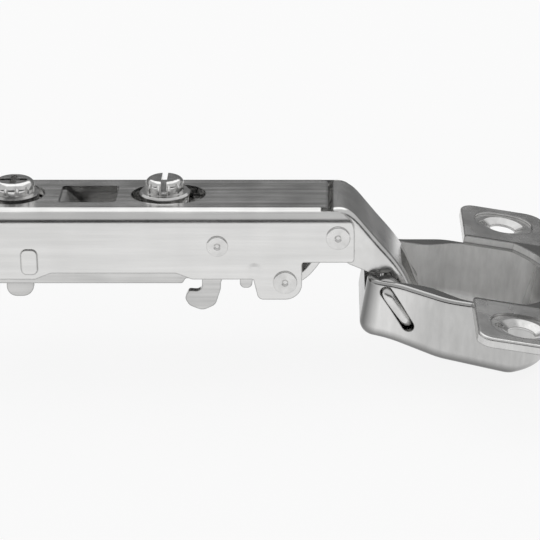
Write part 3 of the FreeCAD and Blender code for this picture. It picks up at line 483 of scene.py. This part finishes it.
class HINGE_OT_finish_screws(bpy.types.Operator):
    """Plates the two setting screws and the threaded bush"""

    bl_idname = "hinge.finish_screws"
    bl_label = "Finish Screws"

    def execute(self, context):
        finishes = context.scene.hinge_finishes
        material = turned_metal("nickel_screws", finishes.nickel, finishes.polish)
        coat(["side_screw", "depth_screw", "side_screw_nut"], material)
        return {"FINISHED"}


class HINGE_OT_finish_pins(bpy.types.Operator):
    """Finishes the rivets, the pins and the bent wire"""

    bl_idname = "hinge.finish_pins"
    bl_label = "Finish Pins"

    def execute(self, context):
        finishes = context.scene.hinge_finishes
        material = turned_metal("pin_steel", finishes.steel, finishes.satin)
        coat(["outer_link_rivet", "inner_link_rivet", "tilt_pin", "lever_pin", "cup_pin_staple"], material)
        return {"FINISHED"}


class HINGE_OT_finish_springs(bpy.types.Operator):
    """Finishes the three springs"""

    bl_idname = "hinge.finish_springs"
    bl_label = "Finish Springs"

    def execute(self, context):
        finishes = context.scene.hinge_finishes
        material = turned_metal("spring_wire", finishes.spring, finishes.satin)
        coat(["closing_spring_near", "closing_spring_far", "lever_spring"], material)
        return {"FINISHED"}


def soft_lamp(name, place, target, size, power):
    """A square soft lamp that shines at a point."""
    data = bpy.data.lights.new(name, "AREA")
    data.shape = "SQUARE"
    data.size = size
    data.energy = power
    thing = bpy.data.objects.new(name, data)
    thing.location = place
    thing.rotation_euler = (Vector(target) - Vector(place)).to_track_quat("-Z", "Y").to_euler()
    bpy.context.scene.collection.objects.link(thing)


def card(name, near_edge, far_edge, width, brightness):
    """A card out of the camera's sight that the metal reflects, from one edge to the other."""
    finish = Finish(name)
    glow = finish.node("ShaderNodeEmission", inputs={"Strength": brightness})
    finish.node("ShaderNodeOutputMaterial", inputs={"Surface": glow})
    low, high = Vector(near_edge), Vector(far_edge)
    clear_selection()
    bpy.ops.mesh.primitive_plane_add(size=1.0, location=(low + high) / 2)
    thing = bpy.context.object
    thing.name = name
    thing.scale = (width, (high - low).length, 1.0)
    thing.rotation_euler = (math.atan2(high.z - low.z, high.y - low.y), 0.0, 0.0)
    thing.data.materials.append(finish.material)
    thing.visible_camera = False
    thing.visible_shadow = False
    thing.visible_diffuse = False


class HINGE_OT_set_stage(bpy.types.Operator):
    """Makes the floor, the lamp, the cards and the camera"""

    bl_idname = "hinge.set_stage"
    bl_label = "Set Stage"

    def execute(self, context):
        stage = context.scene.hinge_stage
        self.make_floor(stage)
        self.make_world(context.scene, stage)
        soft_lamp("overhead_softbox", LAMP_PLACE, LAMP_TARGET, LAMP_SIZE, stage.lamp_power)
        back_foot = stage.floor_drop + CARD_LIFT
        card("back_card", (0.0, 0.14, back_foot), (0.0, 0.7, 0.43), CARD_WIDTH, stage.back_card)
        front_foot = stage.floor_drop + FRONT_CARD_LIFT
        card("front_card", (0.0, -0.35, front_foot), (0.0, -0.9, 0.5), CARD_WIDTH, stage.front_card)
        self.make_camera(context.scene, stage)
        return {"FINISHED"}

    def make_floor(self, stage):
        """A plain pale floor."""
        finish = Finish("floor_paint")
        colour = tuple(stage.floor_colour) + (1.0,)
        paint = finish.node("ShaderNodeBsdfDiffuse", inputs={"Color": colour})
        glow = finish.node("ShaderNodeEmission", inputs={"Color": colour, "Strength": 1.0})
        seen = finish.node("ShaderNodeLightPath", output="Is Camera Ray")
        mirrored = finish.node("ShaderNodeLightPath", output="Is Glossy Ray")
        through = finish.node("ShaderNodeLightPath", output="Is Transmission Ray")
        share = seen * stage.floor_glow + (mirrored + through) * stage.mirror_glow
        mixed = finish.node("ShaderNodeMixShader", inputs={0: share, 1: paint, 2: glow})
        finish.node("ShaderNodeOutputMaterial", inputs={"Surface": mixed})
        clear_selection()
        bpy.ops.mesh.primitive_plane_add(size=stage.floor_size, location=(0.0, 0.0, stage.floor_drop))
        floor = bpy.context.object
        floor.name = "floor"
        floor.data.materials.append(finish.material)

    def make_world(self, scene, stage):
        """An even pale surrounding."""
        world = bpy.data.worlds.new("studio")
        scene.world = world
        world.use_nodes = True
        background = world.node_tree.nodes["Background"]
        background.inputs["Color"].default_value = (1.0, 1.0, 1.0, 1.0)
        background.inputs["Strength"].default_value = stage.surround

    def make_camera(self, scene, stage):
        """The camera, at the photograph's viewing angle."""
        data = bpy.data.cameras.new("camera")
        data.sensor_width = SENSOR_WIDTH
        data.lens = stage.lens
        data.shift_x = CAMERA_SHIFT
        data.clip_start = 0.01
        data.clip_end = 50.0
        camera = bpy.data.objects.new("camera", data)
        back = Vector((0.0, -math.cos(stage.elevation), math.sin(stage.elevation)))
        camera.location = LOOK_POINT + back * stage.distance
        camera.rotation_euler = (math.pi / 2 - stage.elevation, 0.0, 0.0)
        scene.collection.objects.link(camera)
        scene.camera = camera
        scene.view_settings.view_transform = "Standard"


OPERATORS = (
    HINGE_OT_finish_arm,
    HINGE_OT_finish_links,
    HINGE_OT_finish_cup,
    HINGE_OT_finish_screws,
    HINGE_OT_finish_pins,
    HINGE_OT_finish_springs,
    HINGE_OT_set_stage,
)


class HINGE_PT_panel(bpy.types.Panel):
    """Lists the hinge's finishes and its operators."""

    bl_idname = "HINGE_PT_panel"
    bl_label = "Cabinet Hinge"
    bl_space_type = "VIEW_3D"
    bl_region_type = "UI"
    bl_category = "Hinge"

    def draw(self, context):
        for group in (context.scene.hinge_finishes, context.scene.hinge_stage):
            box = self.layout.box()
            for name in group.__annotations__:
                box.prop(group, name)
        for operator in OPERATORS:
            self.layout.operator(operator.bl_idname)


CLASSES = (HingeFinishes, HingeStage) + OPERATORS + (HINGE_PT_panel,)


def register():
    for cls in CLASSES:
        bpy.utils.register_class(cls)
    bpy.types.Scene.hinge_finishes = bpy.props.PointerProperty(type=HingeFinishes)
    bpy.types.Scene.hinge_stage = bpy.props.PointerProperty(type=HingeStage)


def unregister():
    del bpy.types.Scene.hinge_stage
    del bpy.types.Scene.hinge_finishes
    for cls in reversed(CLASSES):
        bpy.utils.unregister_class(cls)


def main():
    """Runs every operator in order."""
    register()
    for operator in OPERATORS:
        group, name = operator.bl_idname.split(".")
        getattr(getattr(bpy.ops, group), name)()


if __name__ == "__main__":
    main()
